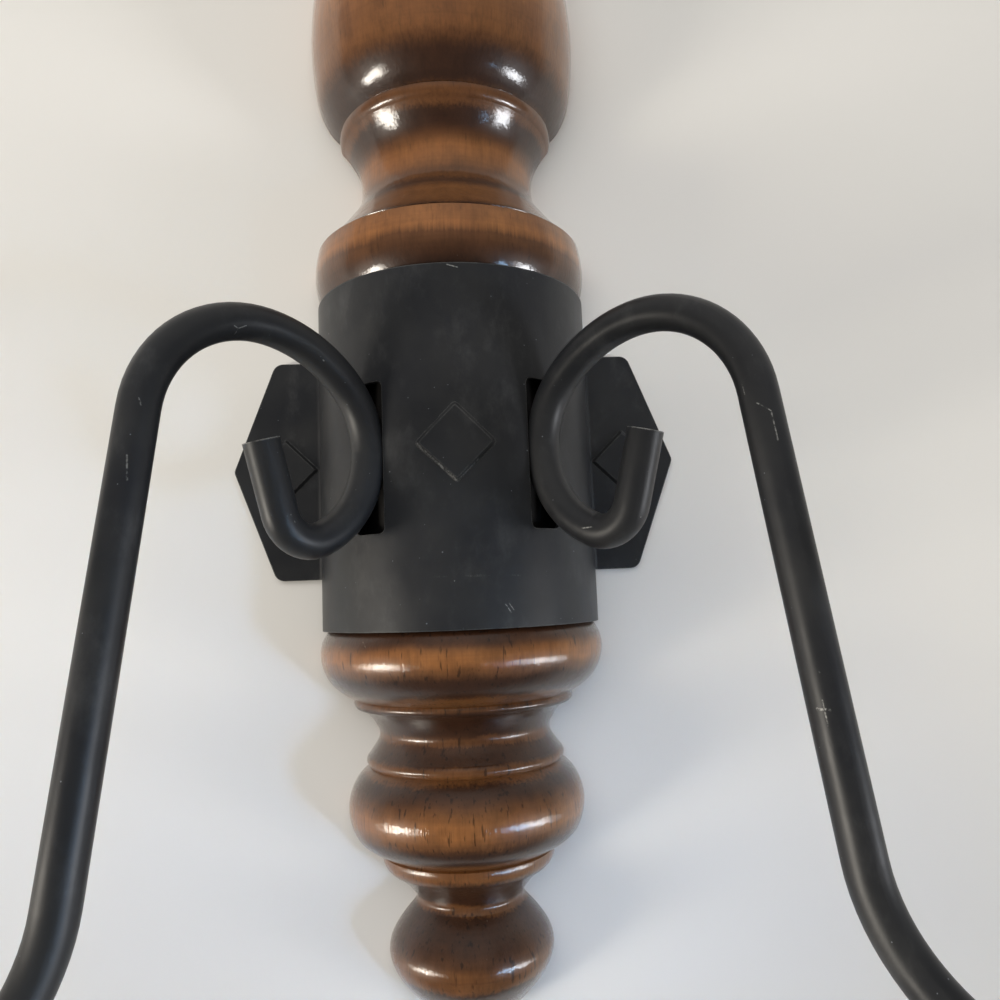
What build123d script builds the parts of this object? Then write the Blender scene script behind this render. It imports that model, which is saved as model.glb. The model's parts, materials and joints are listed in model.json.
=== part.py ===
from build123d import *
import os
from math import cos, radians, sin, sqrt, tan

# Frame: the wall is the plane y = 0, the front looks along -Y and +Z is up.
# The origin is the middle of the hanger plate's keyhole, on the wall.
hook_above_collar = 150.0

# Metal sheet collar, counted from its own middle height
collar_radius = 36.8
collar_height = 86.8
sheet = 1.2
seat_gap = 0.4

# Flat ears of the collar, against the wall
ear_half_height = 29.9
ear_corner_reach = 49.0
ear_tip_reach = 60.3
ear_corner_rounding = 3.0
ear_tip_rounding = 2.0
ear_bend_rounding = 1.2

# Raised diamonds on the front and on the ears
front_diamond = 9.7
ear_diamond = 8.8
ear_diamond_reach = 46.3
diamond_rise = 0.9
diamond_taper = 40.0
diamond_rounding = 1.0

# Upright slots that the arms hook through, by their angle from the front
slot_angle = 34.8
slot_height = -2.2
slot_length = 36.5
slot_clearance = 0.3
slot_rounding = 1.5

# Arms of round rod, each in an upright plane turned forward from the wall
rod_radius = 4.0
arm_angle = 45.0
arm_height = -1.2
inner_bend = 22.5
inner_rise = 45.8
crest_bend = 32.4
crest_turn = 40.0
shoulder_bend = 25.9
arm_lean = 8.2
drop_length = 87.0
lower_bend = 34.0
riser_length = 24.0
scroll_drop = 66.8
scroll_bend = 7.7
scroll_turn = 97.0
scroll_tail = 16.4

# Welds behind the slots, and the hollow in the wood that clears them
weld_radius = 1.8
weld_set_in = 1.2
weld_length = 16.0
weld_side_room = 3.4
weld_end_room = 4.0
weld_depth_room = 1.4

# Drip pans
pan_thickness = 1.0
pan_floor_radius = 17.0
pan_radius = 35.0
pan_rise = 6.5
pan_rim_radius = 1.3

# Candle cups
candle_bore_radius = 11.3
cup_wall = 1.5
cup_depth = 26.0
cup_floor = 3.6
cup_lip = 1.2
cup_lip_height = 2.4
cup_foot = 2.4
cup_foot_height = 2.0

# Screws that hold the cups and pans on the rods
cup_screw_radius = 2.0
cup_screw_head_radius = 3.6
cup_screw_head_height = 2.2
cup_screw_bite = 10.0
screw_clearance = 0.1

# Flat plates let into the back, and their wood screws
plate_thickness = 2.0
strap_height = 24.0
strap_end_clearance = 0.02
strap_screw_reach = 18.0
hanger_width = 26.0
hanger_height = 58.0
hanger_screw_reach = 21.5
hanger_rounding = 4.0
recess_clearance = 0.2
keyhole_radius = 4.6
keyhole_slot_radius = 2.5
keyhole_rise = 11.0
pocket_width = 15.0
pocket_margin = 3.0
pocket_depth = 9.0
wood_screw_radius = 1.75
wood_screw_head_radius = 3.5
wood_screw_length = 20.0
wood_screw_point = 4.0

# Turned wood, radii and heights of its parts outwards from the collar
bead_swell = 0.6
belly_swell = 0.9
top_bead_height = 14.9
shoulder_radius = 28.1
shoulder_height = 9.7
top_neck_radius = 24.1
top_neck_height = 23.0
fillet_radius = 30.1
fillet_height = 3.2
belly_height = 87.5
crown_radius = 24.0
crown_height = 6.0
crown_neck_radius = 13.5
crown_neck_height = 17.0
knob_radius = 18.0
knob_height = 32.0
bottom_bead_height = 18.0
bottom_fillet_radius = 29.0
bottom_fillet_height = 2.2
bottom_neck_radius = 22.5
bottom_neck_height = 12.0
ring_radius = 26.0
ring_height = 3.0
ball_radius = 30.8
ball_height = 21.6
small_ring_radius = 22.5
small_ring_height = 4.6
stem_radius = 14.0
stem_height = 8.4
finial_radius = 21.2
finial_height = 28.8
groove = 0.7

# Sizes that follow from the ones above
bead_radius = collar_radius + bead_swell
belly_radius = collar_radius + belly_swell
inner_radius = collar_radius - sheet
hollow_set_in = sheet * (2 - sqrt(2))
seat_radius = inner_radius - seat_gap
half_collar = collar_height / 2
slot_width = 2 * (rod_radius + slot_clearance)
rod_hole_radius = cup_screw_radius + screw_clearance
keyhole_top = keyhole_rise + keyhole_slot_radius
wood_screw_hole_radius = wood_screw_radius + screw_clearance
strap_reach = sqrt(inner_radius**2 - plate_thickness**2) - strap_end_clearance

collar_middle = Vector(0, 0, -hook_above_collar)
front = Plane(origin=collar_middle, x_dir=(1, 0, 0), z_dir=(0, -1, 0))
hook_front = Plane(origin=(0, 0, 0), x_dir=(1, 0, 0), z_dir=(0, -1, 0))
plan = Plane(origin=collar_middle)
back = Plane(origin=collar_middle, x_dir=(-1, 0, 0), z_dir=(0, 1, 0))
hook_back = Plane(origin=(0, 0, 0), x_dir=(-1, 0, 0), z_dir=(0, 1, 0))

SIDES = {"left": -1, "right": 1}


def slot_plane(side, radius):
    """A plane square to the collar at one slot, at a radius, with its x up."""
    outward = Vector(side * sin(radians(slot_angle)), -cos(radians(slot_angle)), 0)
    middle = collar_middle + outward * radius + Vector(0, 0, slot_height)
    return Plane(origin=middle, x_dir=(0, 0, 1), z_dir=outward)


def arm_plane(side):
    """The upright plane of one arm, from the rod's place in the slot, x outwards."""
    foot = Vector(side * sin(radians(slot_angle)), -cos(radians(slot_angle)), 0) * collar_radius
    outward = Vector(side * cos(radians(arm_angle)), -sin(radians(arm_angle)), 0)
    start = collar_middle + foot + Vector(0, 0, arm_height)
    return Plane(origin=start, x_dir=outward, z_dir=outward.cross(Vector(0, 0, 1)))


def make_wood_screw(x, z):
    """A countersunk wood screw with its head flush in a plate on the wall plane."""
    middle = Vector(x, 0, z)
    with BuildPart() as screw:
        with BuildSketch(Plane(origin=middle, x_dir=(1, 0, 0), z_dir=(0, 0, 1))):
            with BuildLine():
                Polyline(
                    (0, 0),
                    (wood_screw_head_radius, 0),
                    (wood_screw_radius, wood_screw_radius - wood_screw_head_radius),
                    (wood_screw_radius, wood_screw_point - wood_screw_length),
                    (0, -wood_screw_length),
                    close=True,
                )
            make_face()
        revolve(axis=Axis(middle, (0, 1, 0)))
    return screw.part


def make_round_diamond(half_diagonal, core_radius, skin_radius):
    """A raised diamond on the collar's front, between two round skins, with a sloped rim."""
    with BuildPart() as diamond:
        with BuildSketch(front) as outline:
            RegularPolygon(radius=half_diagonal, side_count=4)
            fillet(outline.vertices(), diamond_rounding)
        extrude(amount=2 * skin_radius)
        with Locations(plan):
            Cylinder(skin_radius, collar_height, mode=Mode.INTERSECT)
            Cylinder(core_radius, collar_height, mode=Mode.SUBTRACT)
        rim = diamond.faces().sort_by(Axis.Y)[0].edges()
        chamfer(rim, diamond_rise * tan(radians(diamond_taper)))
    return diamond.part


# Heights of the wood's parts, counted from the collar's middle
top_bead = half_collar + top_bead_height
shoulder = top_bead + shoulder_height
fillet_foot = shoulder + top_neck_height
belly_foot = fillet_foot + fillet_height
belly_top = belly_foot + belly_height
crown_top = belly_top + crown_height
knob_foot = crown_top + crown_neck_height
knob_top = knob_foot + knob_height
bottom_bead = -half_collar - bottom_bead_height
bottom_fillet_foot = bottom_bead - bottom_fillet_height
ring_top = bottom_fillet_foot - bottom_neck_height
ring_foot = ring_top - ring_height
ball_foot = ring_foot - ball_height
small_ring_foot = ball_foot - small_ring_height
finial_top = small_ring_foot - stem_height
finial_foot = finial_top - finial_height

# Spindle: one half-round turning with a flat back
with BuildPart() as spindle:
    with BuildSketch(back):
        with BuildLine():
            # seat of the collar and the bead above it
            Line((seat_radius, -half_collar), (seat_radius, half_collar))
            Spline(
                (seat_radius, half_collar),
                (bead_radius - 0.5, half_collar + 0.28 * top_bead_height),
                (bead_radius, half_collar + 0.64 * top_bead_height),
                (bead_radius - groove, top_bead),
            )
            # thin groove over the bead
            Line((bead_radius - groove, top_bead), (bead_radius - 3.4 * groove, top_bead + 0.7 * groove))
            Line(
                (bead_radius - 3.4 * groove, top_bead + 0.7 * groove),
                (bead_radius - 3 * groove, top_bead + 1.5 * groove),
            )
            # shoulder and neck in one long hollow
            Spline(
                (bead_radius - 3 * groove, top_bead + 1.5 * groove),
                (shoulder_radius + 3.2, top_bead + 0.57 * shoulder_height),
                (shoulder_radius, shoulder),
                (top_neck_radius + 1.3, shoulder + 0.18 * top_neck_height),
                (top_neck_radius, shoulder + 0.46 * top_neck_height),
                (top_neck_radius + 0.8, shoulder + 0.7 * top_neck_height),
                (top_neck_radius + 2.7, shoulder + 0.87 * top_neck_height),
                (fillet_radius - 1.2, fillet_foot),
            )
            # narrow fillet under the belly
            ThreePointArc(
                (fillet_radius - 1.2, fillet_foot),
                (fillet_radius - 0.2, fillet_foot + 0.44 * fillet_height),
                (fillet_radius, belly_foot),
            )
            # belly
            Line((fillet_radius, belly_foot), (fillet_radius - groove / 2, belly_foot + groove / 2))
            Spline(
                (fillet_radius - groove / 2, belly_foot + groove / 2),
                (belly_radius - 6.2, belly_foot + 0.023 * belly_height),
                (belly_radius - 3.7, belly_foot + 0.066 * belly_height),
                (belly_radius - 2.0, belly_foot + 0.11 * belly_height),
                (belly_radius - 0.9, belly_foot + 0.17 * belly_height),
                (belly_radius, belly_foot + 0.29 * belly_height),
                (belly_radius - 1.0, belly_foot + 0.48 * belly_height),
                (crown_radius + 6.0, belly_foot + 0.84 * belly_height),
                (crown_radius - 2.0, belly_top),
            )
            # ring, neck and knob at the top
            Line((crown_radius - 2.0, belly_top), (crown_radius - 1.0, belly_top))
            ThreePointArc(
                (crown_radius - 1.0, belly_top),
                (crown_radius, belly_top + crown_height / 2),
                (crown_radius - 1.0, crown_top),
            )
            Line((crown_radius - 1.0, crown_top), (crown_radius - 2.5, crown_top))
            Spline(
                (crown_radius - 2.5, crown_top),
                (crown_neck_radius + 1.5, crown_top + 0.35 * crown_neck_height),
                (crown_neck_radius, crown_top + 0.75 * crown_neck_height),
                (crown_neck_radius + 0.8, knob_foot),
            )
            Spline(
                (crown_neck_radius + 0.8, knob_foot),
                (knob_radius, knob_foot + 0.42 * knob_height),
                (0.9 * knob_radius, knob_foot + 0.67 * knob_height),
                (0.65 * knob_radius, knob_foot + 0.86 * knob_height),
                (0, knob_top),
                tangents=[(1, 1), (-1, 0)],
            )
            Line((0, knob_top), (0, finial_foot))
            # finial at the foot and its stem
            Spline(
                (0, finial_foot),
                (0.73 * finial_radius, finial_foot + 0.264 * finial_height),
                (finial_radius, finial_foot + 0.6 * finial_height),
                (stem_radius + 0.6, finial_top),
                tangents=[(1, 0), (-1, 1)],
            )
            Spline(
                (stem_radius + 0.6, finial_top),
                (stem_radius, finial_top + 0.16 * stem_height),
                (stem_radius + 1.3, finial_top + 0.45 * stem_height),
                (stem_radius + 3.7, finial_top + 0.76 * stem_height),
                (small_ring_radius - 2.0, small_ring_foot),
            )
            # small ring and ball
            ThreePointArc(
                (small_ring_radius - 2.0, small_ring_foot),
                (small_ring_radius - 0.3, small_ring_foot + 0.45 * small_ring_height),
                (small_ring_radius - 0.1, ball_foot - groove / 2),
            )
            Line((small_ring_radius - 0.1, ball_foot - groove / 2), (small_ring_radius - groove, ball_foot))
            Spline(
                (small_ring_radius - groove, ball_foot),
                (ball_radius - 5.1, ball_foot + 0.09 * ball_height),
                (ball_radius - 2.0, ball_foot + 0.21 * ball_height),
                (ball_radius - 0.5, ball_foot + 0.36 * ball_height),
                (ball_radius, ball_foot + 0.54 * ball_height),
                (ball_radius - 0.5, ball_foot + 0.69 * ball_height),
                (ball_radius - 2.1, ball_foot + 0.85 * ball_height),
                (ring_radius - groove, ring_foot),
            )
            # ring, neck and fillet over it
            ThreePointArc(
                (ring_radius - groove, ring_foot),
                (ring_radius, ring_foot + ring_height / 2),
                (ring_radius - groove, ring_top),
            )
            Spline(
                (ring_radius - groove, ring_top),
                (bottom_neck_radius + 1.2, ring_top + 0.18 * bottom_neck_height),
                (bottom_neck_radius, ring_top + 0.43 * bottom_neck_height),
                (bottom_neck_radius + 1.0, ring_top + 0.66 * bottom_neck_height),
                (bottom_neck_radius + 2.9, ring_top + 0.87 * bottom_neck_height),
                (bottom_fillet_radius - groove, bottom_fillet_foot),
            )
            ThreePointArc(
                (bottom_fillet_radius - groove, bottom_fillet_foot),
                (bottom_fillet_radius, bottom_fillet_foot + 0.6 * bottom_fillet_height),
                (bottom_fillet_radius - groove / 2, bottom_bead),
            )
            # bead under the collar
            Spline(
                (bottom_fillet_radius - groove / 2, bottom_bead),
                (bead_radius - 6.2, bottom_bead + 0.08 * bottom_bead_height),
                (bead_radius - 3.6, bottom_bead + 0.19 * bottom_bead_height),
                (bead_radius - 1.7, bottom_bead + 0.32 * bottom_bead_height),
                (bead_radius - 0.4, bottom_bead + 0.49 * bottom_bead_height),
                (bead_radius, bottom_bead + 0.66 * bottom_bead_height),
                (bead_radius - 0.6, bottom_bead + 0.85 * bottom_bead_height),
                (seat_radius, -half_collar),
            )
        make_face()
    revolve(axis=Axis.Z, revolution_arc=180)
    # hollows for the hooked rods and their welds
    for side in SIDES.values():
        with BuildSketch(slot_plane(side, collar_radius - rod_radius - weld_depth_room)):
            Rectangle(slot_length + 2 * weld_end_room, slot_width + 2 * weld_side_room)
        extrude(amount=rod_radius + weld_depth_room, mode=Mode.SUBTRACT)
    # recess for the strap, right across the back
    with BuildSketch(front):
        Rectangle(2 * collar_radius, strap_height)
    extrude(amount=plate_thickness, mode=Mode.SUBTRACT)
    # recess and screw head pocket for the hanger plate
    with BuildSketch(hook_front):
        RectangleRounded(
            hanger_width + 2 * recess_clearance,
            hanger_height + 2 * recess_clearance,
            hanger_rounding + recess_clearance,
        )
    extrude(amount=plate_thickness, mode=Mode.SUBTRACT)
    with BuildSketch(hook_front.offset(plate_thickness)):
        with Locations((0, (keyhole_top - keyhole_radius) / 2)):
            Rectangle(pocket_width, keyhole_top + keyhole_radius + 2 * pocket_margin)
    extrude(amount=pocket_depth, mode=Mode.SUBTRACT)
    # pilot holes for the wood screws
    with Locations(back):
        with GridLocations(2 * strap_screw_reach, 0, 2, 1):
            Hole(wood_screw_hole_radius, depth=wood_screw_length + screw_clearance)
    with Locations(hook_back):
        with GridLocations(0, 2 * hanger_screw_reach, 1, 2):
            Hole(wood_screw_hole_radius, depth=wood_screw_length + screw_clearance)
spindle.part.label = "spindle"

# Collar: half-round sheet with ears, diamonds and slots
with BuildPart() as collar:
    with BuildSketch(plan.offset(-half_collar)):
        Circle(collar_radius)
        Circle(inner_radius, mode=Mode.SUBTRACT)
        with Locations((0, collar_radius)):
            Rectangle(2 * collar_radius, 2 * collar_radius, mode=Mode.SUBTRACT)
    extrude(amount=collar_height)
    for side in SIDES.values():
        with BuildSketch(front) as ear:
            with BuildLine():
                Polyline(
                    (side * (inner_radius + sheet / 2), ear_half_height),
                    (side * ear_corner_reach, ear_half_height),
                    (side * ear_tip_reach, 0),
                    (side * ear_corner_reach, -ear_half_height),
                    (side * (inner_radius + sheet / 2), -ear_half_height),
                    close=True,
                )
            make_face()
            by_reach = ear.vertices().sort_by(Axis.X, reverse=side > 0)
            fillet(by_reach[0], ear_tip_rounding)
            by_reach = ear.vertices().sort_by(Axis.X, reverse=side > 0)
            fillet(by_reach[2:4], ear_corner_rounding)
        extrude(amount=sheet)
    bends = collar.edges().filter_by(Axis.Z).filter_by(
        lambda edge: -1.5 * sheet < edge.center().Y < -0.5 * sheet
        and abs(edge.center().X) < collar_radius + sheet / 2
    )
    fillet(bends, ear_bend_rounding)
    add(make_round_diamond(front_diamond, inner_radius + sheet / 2, collar_radius + diamond_rise))
    add(
        make_round_diamond(
            front_diamond - hollow_set_in,
            inner_radius - sheet,
            inner_radius + diamond_rise,
        ),
        mode=Mode.SUBTRACT,
    )
    for side in SIDES.values():
        for depth, mode in ((sheet, Mode.ADD), (0, Mode.SUBTRACT)):
            with BuildSketch(front.offset(depth)):
                with Locations((side * ear_diamond_reach, 0)):
                    RegularPolygon(radius=ear_diamond, side_count=4)
            extrude(amount=diamond_rise, taper=diamond_taper, mode=mode)
        with BuildSketch(slot_plane(side, inner_radius - sheet)):
            RectangleRounded(slot_length, slot_width, slot_rounding)
        extrude(amount=3 * sheet, mode=Mode.SUBTRACT)
collar.part.label = "collar"

# Strap that closes the collar behind the wood
with BuildPart() as back_strap:
    with BuildSketch(front):
        Rectangle(2 * strap_reach, strap_height)
    extrude(amount=plate_thickness)
    with Locations(back):
        with GridLocations(2 * strap_screw_reach, 0, 2, 1):
            CounterSinkHole(
                wood_screw_hole_radius,
                wood_screw_head_radius + screw_clearance,
                counter_sink_angle=90,
            )
back_strap.part.label = "back_strap"

# Keyhole plate that hangs the sconce on one wall screw
with BuildPart() as hanger_plate:
    with BuildSketch(hook_front):
        RectangleRounded(hanger_width, hanger_height, hanger_rounding)
        Circle(keyhole_radius, mode=Mode.SUBTRACT)
        with Locations((0, keyhole_rise / 2)):
            Rectangle(2 * keyhole_slot_radius, keyhole_rise, mode=Mode.SUBTRACT)
        with Locations((0, keyhole_rise)):
            Circle(keyhole_slot_radius, mode=Mode.SUBTRACT)
    extrude(amount=plate_thickness)
    with Locations(hook_back):
        with GridLocations(0, 2 * hanger_screw_reach, 1, 2):
            CounterSinkHole(
                wood_screw_hole_radius,
                wood_screw_head_radius + screw_clearance,
                counter_sink_angle=90,
            )
hanger_plate.part.label = "hanger_plate"

# Wood screws of both plates
with BuildPart() as strap_screws:
    for x in (-strap_screw_reach, strap_screw_reach):
        add(make_wood_screw(x, -hook_above_collar))
strap_screws.part.label = "strap_screws"

with BuildPart() as hanger_screws:
    for z in (-hanger_screw_reach, hanger_screw_reach):
        add(make_wood_screw(0, z))
hanger_screws.part.label = "hanger_screws"


def make_arm(side):
    """One bent rod, and the place of its cut top end."""
    plane = arm_plane(side)
    with BuildPart() as arm:
        with BuildLine(plane) as route:
            # scroll, from the slot down and round to the free end
            descent = JernArc((0, 0), (0, -1), inner_bend, scroll_drop)
            turn = JernArc(descent @ 1, descent % 1, scroll_bend, scroll_turn)
            Line(turn @ 1, turn @ 1 + (turn % 1) * scroll_tail)
            # arch, from the slot up, over and down, leaning outwards
            rise = JernArc((0, 0), (0, 1), inner_bend, -inner_rise)
            crest = JernArc(rise @ 1, rise % 1, crest_bend, -crest_turn)
            over = 180 - arm_lean - inner_rise - crest_turn
            brow = JernArc(crest @ 1, crest % 1, shoulder_bend, -over)
            drop = Line(brow @ 1, brow @ 1 + (brow % 1) * drop_length)
            # lower bend and the riser under the candle
            bowl = JernArc(drop @ 1, drop % 1, lower_bend, 180 - arm_lean)
            riser = Line(bowl @ 1, bowl @ 1 + (bowl % 1) * riser_length)
        path = route.wire()
        with BuildSketch(Plane(origin=path @ 0, z_dir=path % 0)):
            Circle(rod_radius)
        sweep(path=path)
        top = riser @ 1
        with Locations(Plane(origin=top)):
            Hole(rod_hole_radius, depth=cup_screw_bite + screw_clearance)
    return arm.part, top


def make_pan(foot):
    """A shallow round dish with a rolled rim, standing on a point."""
    with BuildPart() as pan:
        with BuildSketch(Plane(origin=foot, x_dir=(1, 0, 0), z_dir=(0, -1, 0))):
            with BuildLine():
                middle = (pan_floor_radius + pan_radius) / 2
                Line((0, 0), (pan_floor_radius, 0))
                ThreePointArc(
                    (pan_floor_radius, 0),
                    (middle, 0.32 * pan_rise),
                    (pan_radius, pan_rise),
                )
                Line((pan_radius, pan_rise), (pan_radius, pan_rise + pan_thickness))
                ThreePointArc(
                    (pan_radius, pan_rise + pan_thickness),
                    (middle, 0.32 * pan_rise + pan_thickness),
                    (pan_floor_radius, pan_thickness),
                )
                Line((pan_floor_radius, pan_thickness), (0, pan_thickness))
                Line((0, pan_thickness), (0, 0))
            make_face()
            with Locations((pan_radius, pan_rise + pan_thickness / 2)):
                Circle(pan_rim_radius)
        revolve(axis=Axis(foot, (0, 0, 1)))
        with Locations(Plane(origin=foot)):
            Cylinder(rod_hole_radius, 4 * pan_thickness, mode=Mode.SUBTRACT)
    return pan.part


def make_cup(foot):
    """A candle cup with a thick floor, a foot ring and a lip, standing on a point."""
    outer = candle_bore_radius + cup_wall
    height = cup_floor + cup_depth
    with BuildPart() as cup:
        with BuildSketch(Plane(origin=foot, x_dir=(1, 0, 0), z_dir=(0, -1, 0))):
            with BuildLine():
                Polyline(
                    (candle_bore_radius, height),
                    (candle_bore_radius, cup_floor),
                    (0, cup_floor),
                    (0, 0),
                    (outer + cup_foot, 0),
                    (outer + cup_foot, cup_foot_height / 2),
                    (outer, cup_foot_height),
                    (outer, height - cup_lip_height),
                )
                ThreePointArc(
                    (outer, height - cup_lip_height),
                    (outer + cup_lip, height - cup_lip_height / 2),
                    (outer, height),
                )
                Line((outer, height), (candle_bore_radius, height))
            make_face()
        revolve(axis=Axis(foot, (0, 0, 1)))
        with Locations(Plane(origin=foot + Vector(0, 0, cup_floor))):
            CounterBoreHole(
                rod_hole_radius,
                cup_screw_head_radius + screw_clearance,
                cup_screw_head_height,
            )
    return cup.part


def make_cup_screw(foot):
    """A cheese head screw, flush with the cup's floor, down into the rod."""
    with BuildPart() as screw:
        with Locations(foot + Vector(0, 0, cup_floor)):
            Cylinder(
                cup_screw_head_radius,
                cup_screw_head_height,
                align=(Align.CENTER, Align.CENTER, Align.MAX),
            )
            Cylinder(
                cup_screw_radius,
                cup_floor + pan_thickness + cup_screw_bite,
                align=(Align.CENTER, Align.CENTER, Align.MAX),
            )
    return screw.part


# Arms, pans and cups, one of each on either side
assembly = {}
cup_feet = []
for name, side in SIDES.items():
    arm_part, arm_top = make_arm(side)
    cup_foot_point = arm_top + Vector(0, 0, pan_thickness)
    cup_feet.append(cup_foot_point)
    assembly["arm_" + name] = arm_part
    assembly["drip_pan_" + name] = make_pan(arm_top)
    assembly["candle_cup_" + name] = make_cup(cup_foot_point)

with BuildPart() as cup_screws:
    for foot in cup_feet:
        add(make_cup_screw(foot))
cup_screws.part.label = "cup_screws"

# Welds on both sides of each rod, inside the collar
with BuildPart() as arm_welds:
    for side in SIDES.values():
        with Locations(slot_plane(side, inner_radius - weld_set_in)):
            with GridLocations(0, 2 * (rod_radius + weld_set_in), 1, 2):
                Cylinder(weld_radius, weld_length, rotation=(0, 90, 0))
    with Locations(plan):
        Cylinder(inner_radius, collar_height, mode=Mode.INTERSECT)
    add(assembly["arm_left"], mode=Mode.SUBTRACT)
    add(assembly["arm_right"], mode=Mode.SUBTRACT)
arm_welds.part.label = "arm_welds"

for block in (spindle, collar, back_strap, hanger_plate, strap_screws, hanger_screws, cup_screws, arm_welds):
    assembly[block.part.label] = block.part

os.makedirs("parts", exist_ok=True)
for name, part in assembly.items():
    part.label = name
    export_step(part, f"parts/{name}.step")
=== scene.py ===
import json
from math import radians

import bmesh
import bpy
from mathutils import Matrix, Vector

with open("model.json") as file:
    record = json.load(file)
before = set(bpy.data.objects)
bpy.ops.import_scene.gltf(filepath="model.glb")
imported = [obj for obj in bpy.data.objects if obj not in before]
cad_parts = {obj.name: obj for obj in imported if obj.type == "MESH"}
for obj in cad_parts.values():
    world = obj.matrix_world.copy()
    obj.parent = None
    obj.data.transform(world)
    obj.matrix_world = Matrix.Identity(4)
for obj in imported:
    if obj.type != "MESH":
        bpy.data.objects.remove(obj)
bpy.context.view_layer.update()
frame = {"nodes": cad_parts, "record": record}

nodes = frame["nodes"]
scene = bpy.context.scene
scene.view_settings.view_transform = "Standard"

# Camera, fitted to the photograph: place in metres, turn in degrees, lens in millimetres
CAMERA_PLACE = (-0.000575, -0.219768, -0.185486)
CAMERA_TURN = (96.672, 2.279, -2.944)
LENS = 28.814
SENSOR_WIDTH = 36.0
NEAR_CLIP = 0.01

camera_data = bpy.data.cameras.new("camera")
camera_data.sensor_width = SENSOR_WIDTH
camera_data.lens = LENS
camera_data.clip_start = NEAR_CLIP
camera = bpy.data.objects.new("camera", camera_data)
camera.location = CAMERA_PLACE
camera.rotation_euler = [radians(angle) for angle in CAMERA_TURN]
scene.collection.objects.link(camera)
scene.camera = camera

# Places in the frame that the wood's material uses, in metres
COLLAR_MIDDLE = -0.150
HALF_COLLAR = 0.0434
COLLAR_EDGE = 0.0008  # painted shade turns the wood black from this far within the collar's edges
BACK_DEPTH = 0.0021  # the flat back stays bare wood this deep, strap recess and all

# A dot is full within this share of its size, a rubbed and lit form, partly painted light, within
# this share of its half height
DOT_CORE = 0.6
FORM_CORE = 0.4

# A light line, worn mark and painted highlight alike, in its own half widths: how far noise
# pushes its sides, where it starts and where it is full
RAGGED = 1.6
SCRATCH_AND_HIGHLIGHT_OUTER = 1.9
SCRATCH_AND_HIGHLIGHT_INNER = 1.1

# How far the rounded normal agrees with the face's where an edge's lightening, wear and painted
# glint, starts, and where it is full
WEAR_AND_GLINT_STARTS = 0.985
WEAR_AND_GLINT_FULL = 0.88


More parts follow.
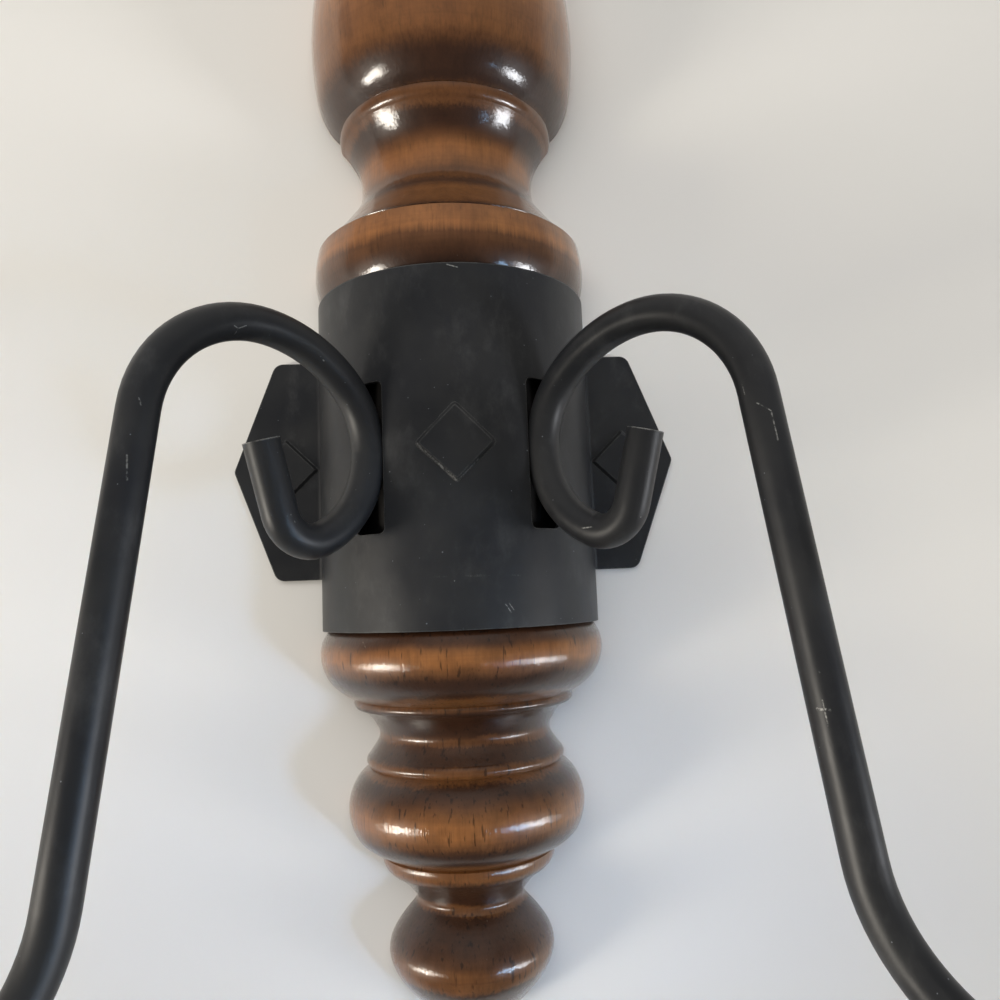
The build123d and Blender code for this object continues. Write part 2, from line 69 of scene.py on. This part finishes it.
class Shader:
    """A material's node tree, with short calls for the nodes used here."""

    def __init__(self, name):
        self.material = bpy.data.materials.new(name)
        self.material.use_nodes = True
        self.tree = self.material.node_tree
        self.principled = self.tree.nodes["Principled BSDF"]
        self.output = self.tree.nodes["Material Output"]
        self.coordinates = self.tree.nodes.new("ShaderNodeTexCoord")

    def node(self, kind, inputs=None, **settings):
        made = self.tree.nodes.new(kind)
        for key, value in settings.items():
            setattr(made, key, value)
        for key, value in (inputs or {}).items():
            self.join(value, made.inputs[key])
        return made

    def join(self, value, socket):
        if isinstance(value, bpy.types.NodeSocket):
            self.tree.links.new(value, socket)
        else:
            socket.default_value = value

    def place(self, scale=(1, 1, 1)):
        """Object coordinates in metres, stretched by a scale."""
        return self.node(
            "ShaderNodeMapping", {"Vector": self.coordinates.outputs["Object"], "Scale": scale}
        ).outputs["Vector"]

    def split(self, vector):
        return self.node("ShaderNodeSeparateXYZ", {"Vector": vector}).outputs

    def noise(self, scale, detail=3.0, rough=0.5, stretch=(1, 1, 1), distortion=0.0):
        return self.node(
            "ShaderNodeTexNoise",
            {
                "Vector": self.place(stretch),
                "Scale": scale,
                "Detail": detail,
                "Roughness": rough,
                "Distortion": distortion,
            },
        ).outputs["Fac"]

    def dots(self, scale, size, share):
        """Small round dots in a share of a grid's cells."""
        cells = self.node("ShaderNodeTexVoronoi", {"Vector": self.place(), "Scale": scale})
        near = self.level(cells.outputs["Distance"], size, DOT_CORE * size)
        pick = self.split(cells.outputs["Color"])[0]
        return self.math("MULTIPLY", near, self.math("LESS_THAN", pick, share))

    def level(self, value, low, high):
        """A value between two levels, from 0 at the first to 1 at the second."""
        return self.node(
            "ShaderNodeMapRange",
            {"Value": value, "From Min": low, "From Max": high},
            interpolation_type="SMOOTHSTEP",
        ).outputs["Result"]

    def ramp(self, factor, stops):
        """Colours at stops along a factor, where one number alone is a grey."""
        made = self.node("ShaderNodeValToRGB", {"Fac": factor})
        elements = made.color_ramp.elements
        while len(elements) < len(stops):
            elements.new(0.5)
        for element, (position, colour) in zip(elements, stops):
            if not isinstance(colour, tuple):
                colour = (colour, colour, colour)
            element.position = position
            element.color = (*colour, 1.0)
        return made.outputs["Color"]

    def mix(self, factor, first, second, blend="MIX"):
        made = self.node("ShaderNodeMix", data_type="RGBA", blend_type=blend)
        self.join(factor, made.inputs["Factor"])
        sockets = [socket for socket in made.inputs if socket.type == "RGBA"]
        for value, socket in zip((first, second), sockets):
            self.join((*value, 1.0) if isinstance(value, tuple) else value, socket)
        return [socket for socket in made.outputs if socket.type == "RGBA"][0]

    def math(self, operation, first, second=0.5, third=0.0):
        made = self.node("ShaderNodeMath", operation=operation)
        for value, socket in zip((first, second, third), made.inputs):
            self.join(value, socket)
        return made.outputs[0]

    def sway(self, value, noise, amount):
        """A value moved to either side by a noise."""
        return self.math("MULTIPLY_ADD", self.math("SUBTRACT", noise, 0.5), amount, value)

    def vector(self, operation, first, second, output="Vector"):
        made = self.node("ShaderNodeVectorMath", operation=operation)
        self.join(first, made.inputs[0])
        self.join(second, made.inputs["Scale" if operation == "SCALE" else 1])
        return made.outputs[output]

    def largest(self, masks):
        total = masks[0]
        for mask in masks[1:]:
            total = self.math("MAXIMUM", total, mask)
        return total

    def scratches_and_highlights(self, marks):
        """Lighter lines, worn marks and painted highlights, given by start and end in the frame,
        half width and strength.

        Their sides are ragged, and they are broken up along their length.
        """
        rag = self.noise(2400.0, 3.0, 0.7)
        unbroken = self.level(self.noise(1500.0, 3.0, 0.7), 0.38, 0.62)
        drawn = []
        for start, end, width, strength in marks:
            along = Vector(end) - Vector(start)
            offset = self.vector("SUBTRACT", self.coordinates.outputs["Object"], start)
            per_length = tuple(along / along.length_squared)
            share = self.vector("DOT_PRODUCT", offset, per_length, "Value")
            share = self.math("MINIMUM", self.math("MAXIMUM", share, 0.0), 1.0)
            foot = self.vector("SCALE", tuple(along), share)
            distance = self.vector("DISTANCE", offset, foot, "Value")
            ragged = self.math("MULTIPLY_ADD", rag, RAGGED * width, distance)
            line = self.level(ragged, SCRATCH_AND_HIGHLIGHT_OUTER * width, SCRATCH_AND_HIGHLIGHT_INNER * width)
            drawn.append(self.math("MULTIPLY", line, strength))
        return self.math("MULTIPLY", self.largest(drawn), unbroken)

    def bump(self, height, distance, normal=None):
        """The normal of a relief, of a given depth in metres, laid over another normal."""
        inputs = {"Height": height, "Distance": distance, "Strength": 1.0}
        if normal is not None:
            inputs["Normal"] = normal
        return self.node("ShaderNodeBump", inputs).outputs["Normal"]

    def bevel(self, radius):
        """The normal with its edges rounded, and a mask of those edges."""
        rounded = self.node("ShaderNodeBevel", {"Radius": radius}, samples=4).outputs["Normal"]
        plain = self.node("ShaderNodeNewGeometry").outputs["Normal"]
        agreement = self.vector("DOT_PRODUCT", rounded, plain, "Value")
        return rounded, self.level(agreement, WEAR_AND_GLINT_STARTS, WEAR_AND_GLINT_FULL)


# Where the stain is rubbed lighter, partly as painted light, with painted shade between the
# bands: height from the collar's middle, half height and share. Round forms are lighter where
# they stand upright, thin rings all over.
RUBBED_AND_LIT_FORMS = [
    (0.1500, 0.0560, 1.00),
    (0.0770, 0.0120, 0.88),
    (0.0560, 0.0065, 1.00),
    (-0.0505, 0.0060, 1.00),
    (-0.0885, 0.0080, 0.95),
    (-0.1240, 0.0060, 0.45),
]
RUBBED_AND_LIT_RINGS = [
    (0.2360, 0.0040, 0.50),
    (0.1125, 0.0130, 0.58),
    (0.0920, 0.0036, 0.38),
    (0.0735, 0.0040, 0.34),
    (0.0640, 0.0060, 0.54),
    (-0.0608, 0.0022, 0.42),
    (-0.0708, 0.0016, 0.36),
    (-0.0782, 0.0026, 0.42),
    (-0.0905, 0.0040, 0.45),
    (-0.1010, 0.0040, 0.64),
    (-0.1118, 0.0018, 0.36),
    (-0.1268, 0.0024, 0.46),
]
FORMS_ELSEWHERE = 0.30  # share of the round forms that the list leaves out

# Share rubbed and lit by the way the wood faces, with painted shade on faces turned down and up:
# 0 faces down, 0.5 stands upright, 1 faces up
RUBBED_AND_LIT_BY_FACING = [
    (0.16, 0.0),
    (0.26, 0.05),
    (0.38, 0.50),
    (0.45, 1.0),
    (0.54, 0.95),
    (0.64, 0.42),
    (0.80, 0.10),
]

# Stains, from their darker to their lighter figure, the dark one also painted shade and the
# rubbed one also painted light, and the other colours of the wood
DARK_STAIN_AND_SHADE = [(0.022, 0.0075, 0.0030), (0.040, 0.0150, 0.0062)]
RUBBED_AND_LIT_STAIN = [(0.17, 0.059, 0.015), (0.32, 0.132, 0.039)]
BARE_RINGS = [
    (0.30, (0.15, 0.075, 0.034)),
    (0.46, (0.27, 0.155, 0.080)),
    (0.54, (0.20, 0.105, 0.050)),
    (0.70, (0.31, 0.185, 0.10)),
]
# painted shade: the black of the wood within the collar
SHADE_WITHIN_COLLAR = (0.006, 0.005, 0.005)
SCRATCHED_WOOD = (0.55, 0.48, 0.40)

# Reliefs of the lacquered wood, in metres
PORE_RELIEF = 0.00005
GRAIN_RELIEF = 0.00012
WAVE_RELIEF = 0.00007

# Marks worn into the lacquer: start, end, half width, strength
WOOD_MARKS = [
    ((-0.0127, -0.0217, -0.0770), (-0.0125, -0.0217, -0.0771), 0.00016, 0.6),
    ((-0.0109, -0.0287, -0.0854), (-0.0108, -0.0288, -0.0855), 0.00014, 0.6),
    ((0.0019, -0.0361, -0.1046), (0.0017, -0.0368, -0.1069), 0.00009, 0.7),
    ((-0.0296, -0.0223, -0.1967), (-0.0294, -0.0223, -0.1968), 0.00018, 0.7),
    ((-0.0233, -0.0281, -0.1955), (-0.0225, -0.0294, -0.1968), 0.00012, 0.6),
    ((0.0037, -0.0149, -0.2640), (0.0032, -0.0201, -0.2709), 0.00008, 0.25),
]


def rubbed_and_lit_share(shader, height, facing_up, cloud, pores):
    """How far the stain is rubbed back and painted lighter as light, from 0 to 1; low values are
    painted shade.
    """
    slope = shader.math("MULTIPLY_ADD", shader.sway(facing_up, cloud, 0.34), 0.5, 0.5)
    upright = shader.ramp(slope, RUBBED_AND_LIT_BY_FACING)
    wander = shader.sway(shader.sway(height, pores, 0.0022), cloud, 0.0040)

    def bands(forms):
        drawn = []
        for middle, half, share in forms:
            away = shader.math("ABSOLUTE", shader.math("SUBTRACT", wander, middle))
            band = shader.level(away, half, FORM_CORE * half)
            drawn.append(shader.math("MULTIPLY", band, share))
        return shader.largest(drawn)

    round_forms = shader.math("MAXIMUM", bands(RUBBED_AND_LIT_FORMS), FORMS_ELSEWHERE)
    round_forms = shader.math("MULTIPLY", upright, round_forms)
    return shader.math("MAXIMUM", round_forms, bands(RUBBED_AND_LIT_RINGS))


def stained(shader, rubbed_and_lit, lower, mottle, pores):
    """The stain's colour, with its figure, turning marks and pores."""
    ticks = shader.noise(1150.0, 2.0, 0.5, (1.0, 1.0, 0.10))
    figure = shader.noise(80.0, 3.0, 0.55, (1.0, 1.0, 0.22), 0.4)
    turned = shader.noise(900.0, 2.0, 0.6, (0.02, 0.02, 1.0))
    dark = shader.mix(figure, *DARK_STAIN_AND_SHADE)
    light = shader.mix(figure, *RUBBED_AND_LIT_STAIN)
    colour = shader.mix(rubbed_and_lit, dark, light)
    for pattern, stops in [
        (mottle, [(0.32, 0.80), (0.50, 1.0), (0.70, 1.14)]),
        (turned, [(0.35, 0.94), (0.50, 1.0), (0.66, 1.04)]),
        (pores, [(0.34, 0.88), (0.50, 1.0), (0.70, 1.06)]),
    ]:
        colour = shader.mix(1.0, colour, shader.ramp(pattern, stops), "MULTIPLY")
    high_ticks = shader.ramp(ticks, [(0.26, 0.74), (0.35, 1.0)])
    low_ticks = shader.ramp(ticks, [(0.31, 0.36), (0.39, 1.0)])
    marks = shader.mix(lower, high_ticks, low_ticks)
    return shader.mix(1.0, colour, marks, "MULTIPLY")


def bare_wood(shader, pores):
    """Unfinished wood with its year rings, for the flat back."""
    rings = shader.noise(42.0, 3.0, 0.5, (1.0, 1.0, 0.07), 1.2)
    open_pores = shader.ramp(pores, [(0.36, 0.55), (0.50, 1.0)])
    return shader.mix(1.0, shader.ramp(rings, BARE_RINGS), open_pores, "MULTIPLY")


def lacquer_relief(shader, lower):
    """Grain in the lacquer, stronger below the collar, over slow waves."""
    grain = shader.noise(1700.0, 3.0, 0.65, (1.0, 1.0, 0.14))
    strength = shader.math("MULTIPLY_ADD", lower, 0.72, 0.28)
    grain = shader.math("MULTIPLY", grain, strength)
    waves = shader.noise(300.0, 2.0, 0.5)
    return shader.bump(grain, GRAIN_RELIEF, shader.bump(waves, WAVE_RELIEF))


def lacquered_wood():
    """Dark stain, rubbed and painted lighter where the turning stands upright, with painted shade
    on faces turned down and in hollows, under gloss lacquer.
    """
    shader = Shader("lacquered_wood")
    principled = shader.principled
    position = shader.split(shader.coordinates.outputs["Object"])
    facing = shader.split(shader.coordinates.outputs["Normal"])
    height = shader.math("SUBTRACT", position[2], COLLAR_MIDDLE)
    lower = shader.level(height, 0.02, -0.02)  # 0 above the collar, 1 below it
    pores = shader.noise(1500.0, 3.0, 0.6, (1.0, 1.0, 0.045))
    cloud = shader.noise(60.0, 3.0, 0.55)
    mottle = shader.noise(260.0, 4.0, 0.65, (1.0, 1.0, 0.6))

    rubbed_and_lit = rubbed_and_lit_share(shader, height, facing[2], cloud, pores)
    colour = stained(shader, rubbed_and_lit, lower, mottle, pores)

    # bare wood on the flat back, and painted shade, black, on the wood hidden within the collar
    back = shader.level(facing[1], 0.6, 0.9)
    colour = shader.mix(back, colour, bare_wood(shader, pores))
    away = shader.math("ABSOLUTE", height)
    painted_shade = shader.math("LESS_THAN", away, HALF_COLLAR - COLLAR_EDGE)
    in_front = shader.math("LESS_THAN", position[1], -BACK_DEPTH)
    painted_shade = shader.math("MULTIPLY", painted_shade, in_front)
    colour = shader.mix(painted_shade, colour, SHADE_WITHIN_COLLAR)
    colour = shader.mix(shader.scratches_and_highlights(WOOD_MARKS), colour, SCRATCHED_WOOD)
    shader.join(colour, principled.inputs["Base Color"])

    not_back = shader.math("SUBTRACT", 1.0, back)
    no_painted_shade = shader.math("SUBTRACT", 1.0, painted_shade)
    gloss = shader.math("MULTIPLY", not_back, no_painted_shade)
    shader.join(gloss, principled.inputs["Coat Weight"])
    shader.join(shader.ramp(mottle, [(0.3, 0.34), (0.7, 0.44)]), principled.inputs["Roughness"])
    principled.inputs["Specular IOR Level"].default_value = 0.30
    principled.inputs["Coat Roughness"].default_value = 0.05
    principled.inputs["Coat IOR"].default_value = 1.42
    shader.join(lacquer_relief(shader, lower), principled.inputs["Coat Normal"])
    shader.join(shader.bump(pores, PORE_RELIEF), principled.inputs["Normal"])
    return shader.material


# Marks on the paint, worn marks and on the collar painted highlights: start, end, half width,
# strength
COLLAR_MARKS_AND_HIGHLIGHTS = [
    ((-0.0007, -0.0368, -0.1072), (0.0017, -0.0368, -0.1079), 0.00016, 0.8),
    ((0.0101, -0.0354, -0.1879), (0.0113, -0.0350, -0.1898), 0.00016, 0.7),
    ((0.0109, -0.0351, -0.1877), (0.0120, -0.0348, -0.1893), 0.00012, 0.6),
    ((-0.0015, -0.0368, -0.1820), (-0.0014, -0.0368, -0.1822), 0.00014, 0.8),
    ((-0.0058, -0.0363, -0.1811), (0.0040, -0.0366, -0.1812), 0.00030, 0.10),
    ((0.0040, -0.0366, -0.1812), (0.0138, -0.0341, -0.1814), 0.00030, 0.08),
    # painted highlights along the front diamond's edges, where its facets catch the light
    ((-0.0089, -0.0361, -0.1503), (-0.0046, -0.0369, -0.1546), 0.00050, 0.36),
    ((-0.0046, -0.0369, -0.1546), (0.0000, -0.0372, -0.1592), 0.00055, 0.55),
    ((0.0004, -0.0372, -0.1590), (0.0050, -0.0368, -0.1543), 0.00026, 0.26),
    ((0.0091, -0.0360, -0.1500), (0.0050, -0.0368, -0.1457), 0.00020, 0.14),
]
ARM_MARKS = [
    ((-0.0445, -0.0588, -0.1289), (-0.0440, -0.0579, -0.1292), 0.00014, 0.7),
    ((-0.0440, -0.0579, -0.1292), (-0.0426, -0.0569, -0.1283), 0.00014, 0.7),
    ((-0.0440, -0.0579, -0.1292), (-0.0448, -0.0575, -0.1303), 0.00012, 0.7),
    ((-0.0292, -0.0431, -0.1318), (-0.0290, -0.0430, -0.1320), 0.00016, 0.7),
    ((-0.0352, -0.0501, -0.1673), (-0.0350, -0.0500, -0.1675), 0.00022, 0.9),
    ((-0.0346, -0.0495, -0.1686), (-0.0345, -0.0494, -0.1688), 0.00015, 0.8),
    ((-0.0581, -0.0724, -0.1471), (-0.0577, -0.0724, -0.1484), 0.00016, 0.5),
    ((-0.0596, -0.0737, -0.1579), (-0.0594, -0.0739, -0.1625), 0.00020, 0.3),
    ((0.0273, -0.0421, -0.1717), (0.0294, -0.0442, -0.1716), 0.00018, 0.7),
    ((0.0391, -0.0499, -0.1703), (0.0393, -0.0500, -0.1704), 0.00022, 0.6),
    ((0.0558, -0.0704, -0.1467), (0.0561, -0.0707, -0.1492), 0.00013, 0.5),
    ((0.0577, -0.0725, -0.1512), (0.0600, -0.0733, -0.1530), 0.00015, 0.6),
    ((0.0600, -0.0733, -0.1530), (0.0606, -0.0739, -0.1588), 0.00018, 0.45),
    ((0.0624, -0.0771, -0.2081), (0.0640, -0.0786, -0.2081), 0.00030, 0.9),
    ((0.0631, -0.0779, -0.2065), (0.0635, -0.0784, -0.2109), 0.00016, 0.6),
    ((0.0631, -0.0778, -0.2014), (0.0631, -0.0778, -0.2016), 0.00018, 0.8),
]


# Colours of the paint, of what lies on it and of the steel under it; the steel's colours also
# stand in for painted glints on edges and painted highlights on the collar's diamond
PAINT = [(0.3, (0.0125, 0.0135, 0.0165)), (0.7, (0.0235, 0.0240, 0.0250))]
HAZE = (0.13, 0.13, 0.13)
DUST = (0.26, 0.28, 0.31)
RUBBED_AND_GLINTING_EDGE = (0.42, 0.42, 0.40)
SCRATCH_AND_HIGHLIGHT_PAINT = (0.46, 0.46, 0.44)

# How far the edges are painted lighter, as wear and as a painted glint: the collar's, the arms'
# and the others'
COLLAR_WEAR_AND_GLINT = 0.22
ARM_WEAR_AND_GLINT = 1.0
OTHER_WEAR_AND_GLINT = 0.25

# Radius of the paint's edges and its reliefs, in metres
PAINT_EDGE = 0.0005
GRIT_RELIEF = 0.000016
DENT_RELIEF = 0.00030


def satin_black(name, marks, edge_wear_and_glint):
    """Satin black paint, lighter at its edges as wear and as a painted glint, with specks of dust
    and a few light marks, worn marks and on the collar painted highlights.
    """
    shader = Shader(name)
    principled = shader.principled
    blotch = shader.noise(55.0, 4.0, 0.6)
    grit = shader.noise(1900.0, 3.0, 0.6)
    colour = shader.ramp(blotch, PAINT)
    haze = shader.level(shader.noise(95.0, 6.0, 0.7, (1.0, 1.0, 0.6)), 0.50, 0.78)
    colour = shader.mix(shader.math("MULTIPLY", haze, 0.20), colour, HAZE)
    specks = shader.largest([shader.dots(250.0, 0.050, 0.30), shader.dots(640.0, 0.085, 0.12)])
    colour = shader.mix(shader.math("MULTIPLY", specks, 0.60), colour, DUST)
    rounded, edges = shader.bevel(PAINT_EDGE)
    patchy = shader.level(shader.noise(420.0, 4.0, 0.7), 0.30, 0.55)
    # edges painted lighter: wear, and a painted glint where the rounded edges catch the light
    rubbed_and_lit = shader.math("MULTIPLY", edges, shader.math("MULTIPLY", patchy, edge_wear_and_glint))
    colour = shader.mix(rubbed_and_lit, colour, RUBBED_AND_GLINTING_EDGE)
    # light marks: worn marks, and on the collar painted highlights on the diamond's facets
    if marks:
        colour = shader.mix(shader.scratches_and_highlights(marks), colour, SCRATCH_AND_HIGHLIGHT_PAINT)
    shader.join(colour, principled.inputs["Base Color"])
    shader.join(shader.ramp(blotch, [(0.3, 0.37), (0.7, 0.48)]), principled.inputs["Roughness"])
    principled.inputs["Specular IOR Level"].default_value = 0.42
    dents = shader.noise(60.0, 2.0, 0.5)
    relief = shader.bump(grit, GRIT_RELIEF, shader.bump(dents, DENT_RELIEF, rounded))
    shader.join(relief, principled.inputs["Normal"])
    return shader.material


# Colours of the zinc, the radius of its edges and its relief, in metres
ZINC = [(0.2, (0.36, 0.36, 0.35)), (0.8, (0.50, 0.50, 0.48))]
HANDLED_ZINC = (0.22, 0.20, 0.17)
BRIGHT_EDGE = (0.66, 0.66, 0.64)
ZINC_EDGE = 0.0003
ZINC_RELIEF = 0.00002


def dull_zinc():
    """Zinc plate gone dull, with grey spangles and darker handled patches."""
    shader = Shader("dull_zinc")
    principled = shader.principled
    spangle = shader.node(
        "ShaderNodeTexVoronoi", {"Vector": shader.place(), "Scale": 420.0}, feature="SMOOTH_F1"
    )
    tone = shader.split(spangle.outputs["Color"])[0]
    blotch = shader.noise(120.0, 4.0, 0.6)
    colour = shader.ramp(tone, ZINC)
    stain = shader.level(blotch, 0.48, 0.72)
    colour = shader.mix(shader.math("MULTIPLY", stain, 0.5), colour, HANDLED_ZINC)
    rounded, edges = shader.bevel(ZINC_EDGE)
    colour = shader.mix(shader.math("MULTIPLY", edges, 0.6), colour, BRIGHT_EDGE)
    shader.join(colour, principled.inputs["Base Color"])
    principled.inputs["Metallic"].default_value = 1.0
    shader.join(shader.ramp(blotch, [(0.3, 0.32), (0.7, 0.50)]), principled.inputs["Roughness"])
    relief = shader.bump(shader.noise(900.0, 3.0, 0.6), ZINC_RELIEF, rounded)
    shader.join(relief, principled.inputs["Normal"])
    return shader.material


wood = lacquered_wood()
zinc = dull_zinc()
collar_black = satin_black("collar_black", COLLAR_MARKS_AND_HIGHLIGHTS, COLLAR_WEAR_AND_GLINT)
arm_black = satin_black("arm_black", ARM_MARKS, ARM_WEAR_AND_GLINT)
other_black = satin_black("satin_black", [], OTHER_WEAR_AND_GLINT)
marked_black = {"collar": collar_black, "arm_left": arm_black, "arm_right": arm_black}
slots = {entry["node"]: entry["material_slot"] for entry in frame["record"]["subparts"]}
for name, node in nodes.items():
    if slots[name] == "turned_wood":
        finish = wood
    elif slots[name] == "plated_steel":
        finish = zinc
    else:
        finish = marked_black.get(name, other_black)
    node.data.materials.clear()
    node.data.materials.append(finish)


# The paper's half size, its gap to the wall plane, and the heights between which it turns from
# neutral below to warm above, in metres
PAPER_HALF = 0.8
PAPER_GAP = 0.0003
PAPER_NEUTRAL_BELOW = -0.28
PAPER_WARM_ABOVE = -0.18
NEUTRAL_PAPER = (0.735, 0.735, 0.735)
WARM_PAPER = (0.800, 0.785, 0.755)


def paper():
    """A pale sheet behind the sconce, open to a camera that stands behind it."""
    shader = Shader("paper")
    principled = shader.principled
    blotch = shader.noise(3.0, 3.0, 0.5)
    height = shader.split(shader.coordinates.outputs["Object"])[2]
    warm = shader.level(height, PAPER_NEUTRAL_BELOW, PAPER_WARM_ABOVE)
    colour = shader.mix(warm, NEUTRAL_PAPER, WARM_PAPER)
    colour = shader.mix(1.0, colour, shader.ramp(blotch, [(0.3, 0.97), (0.7, 1.02)]), "MULTIPLY")
    shader.join(colour, principled.inputs["Base Color"])
    principled.inputs["Roughness"].default_value = 0.7
    principled.inputs["Specular IOR Level"].default_value = 0.2
    side = shader.node("ShaderNodeNewGeometry").outputs["Backfacing"]
    clear = shader.node("ShaderNodeBsdfTransparent").outputs[0]
    mixed = shader.node("ShaderNodeMixShader", {0: side, 1: principled.outputs[0], 2: clear})
    shader.join(mixed.outputs[0], shader.output.inputs["Surface"])
    return shader.material


sheet_mesh = bpy.data.meshes.new("backdrop")
corners = [(-1, -1), (1, -1), (1, 1), (-1, 1)]
points = [(x * PAPER_HALF, PAPER_GAP, z * PAPER_HALF) for x, z in corners]
sheet_mesh.from_pydata(points, [], [(0, 1, 2, 3)])
sheet = bpy.data.objects.new("backdrop", sheet_mesh)
sheet.data.materials.append(paper())
sheet.visible_shadow = False
scene.collection.objects.link(sheet)


SURROUND_RADIUS = 6.0
SURROUND_COLOUR = (0.95, 0.94, 0.92, 1.0)
SURROUND_GLOW = 0.72


def pale_surround():
    """A plain pale room around it all, which only a camera looking past the sheet sees."""
    made = bmesh.new()
    bmesh.ops.create_icosphere(made, subdivisions=4, radius=SURROUND_RADIUS)
    mesh = bpy.data.meshes.new("surround")
    made.to_mesh(mesh)
    made.free()
    glow = Shader("surround")
    light = glow.node("ShaderNodeEmission", {"Color": SURROUND_COLOUR, "Strength": SURROUND_GLOW})
    glow.join(light.outputs[0], glow.output.inputs["Surface"])
    glow.material.cycles.emission_sampling = "NONE"
    mesh.materials.append(glow.material)
    room = bpy.data.objects.new("surround", mesh)
    for ray in ("diffuse", "glossy", "transmission", "volume_scatter", "shadow"):
        setattr(room, "visible_" + ray, False)
    scene.collection.objects.link(room)


pale_surround()


def area_light(name, place, target, size, power, colour=(1, 1, 1), spread=180.0):
    """A rectangular light turned to its target, in metres, watts and degrees."""
    data = bpy.data.lights.new(name, "AREA")
    data.shape = "RECTANGLE"
    data.size, data.size_y = size
    data.energy = power
    data.color = colour
    data.spread = radians(spread)
    light = bpy.data.objects.new(name, data)
    light.location = place
    aim = Vector(target) - Vector(place)
    light.rotation_euler = aim.to_track_quat("-Z", "Y").to_euler()
    scene.collection.objects.link(light)
    return light


# What the lights are turned to, and their colours
MIDDLE = (0.0, -0.03, -0.17)
UPPER_WOOD = (0.0, -0.03, -0.08)
LOWER_WOOD = (0.0, -0.03, -0.250)
WARM = (1.0, 0.93, 0.82)
COOL = (0.94, 0.96, 1.0)
BLUE = (0.40, 0.66, 1.0)
IVORY = (1.0, 0.98, 0.94)

area_light(
    "left_window", (-1.19, -0.49, -0.60), MIDDLE, size=(0.42, 0.23), power=12.4, colour=WARM
)
area_light(
    "right_window",
    (1.19, -0.49, -0.59),
    UPPER_WOOD,
    size=(0.38, 0.22),
    power=0.48,
    colour=COOL,
    spread=44.0,
)
area_light(
    "blue_window",
    (0.61, -0.58, -0.50),
    LOWER_WOOD,
    size=(0.10, 0.14),
    power=0.036,
    colour=BLUE,
    spread=20.0,
)
fill = area_light(
    "front_fill", (-0.3, -1.4, 0.5), MIDDLE, size=(1.8, 1.4), power=14.8, colour=IVORY
)
fill.visible_glossy = False
area_light("rear_room", (0.0, 1.3, 0.2), MIDDLE, size=(1.2, 1.2), power=14.0)

# Strength of the room's light up to the horizon and near the ceiling, and how far up the second
# is reached, from 0 at the horizon to 1 overhead
ROOM_LOW = 0.13
ROOM_HIGH = 0.46
ROOM_RISE = 0.9
ROOM_COLOUR = (1.0, 0.98, 0.95, 1.0)


def room_light():
    """A soft room, dim up to the horizon and brighter towards its ceiling."""
    world = bpy.data.worlds.new("room")
    scene.world = world
    world.use_nodes = True
    tree = world.node_tree
    direction = tree.nodes.new("ShaderNodeTexCoord")
    split = tree.nodes.new("ShaderNodeSeparateXYZ")
    rise = tree.nodes.new("ShaderNodeMapRange")
    rise.interpolation_type = "SMOOTHSTEP"
    rise.inputs["From Min"].default_value = 0.0
    rise.inputs["From Max"].default_value = ROOM_RISE
    rise.inputs["To Min"].default_value = ROOM_LOW
    rise.inputs["To Max"].default_value = ROOM_HIGH
    background = tree.nodes["Background"]
    background.inputs["Color"].default_value = ROOM_COLOUR
    tree.links.new(direction.outputs["Generated"], split.inputs["Vector"])
    tree.links.new(split.outputs["Z"], rise.inputs["Value"])
    tree.links.new(rise.outputs["Result"], background.inputs["Strength"])


room_light()
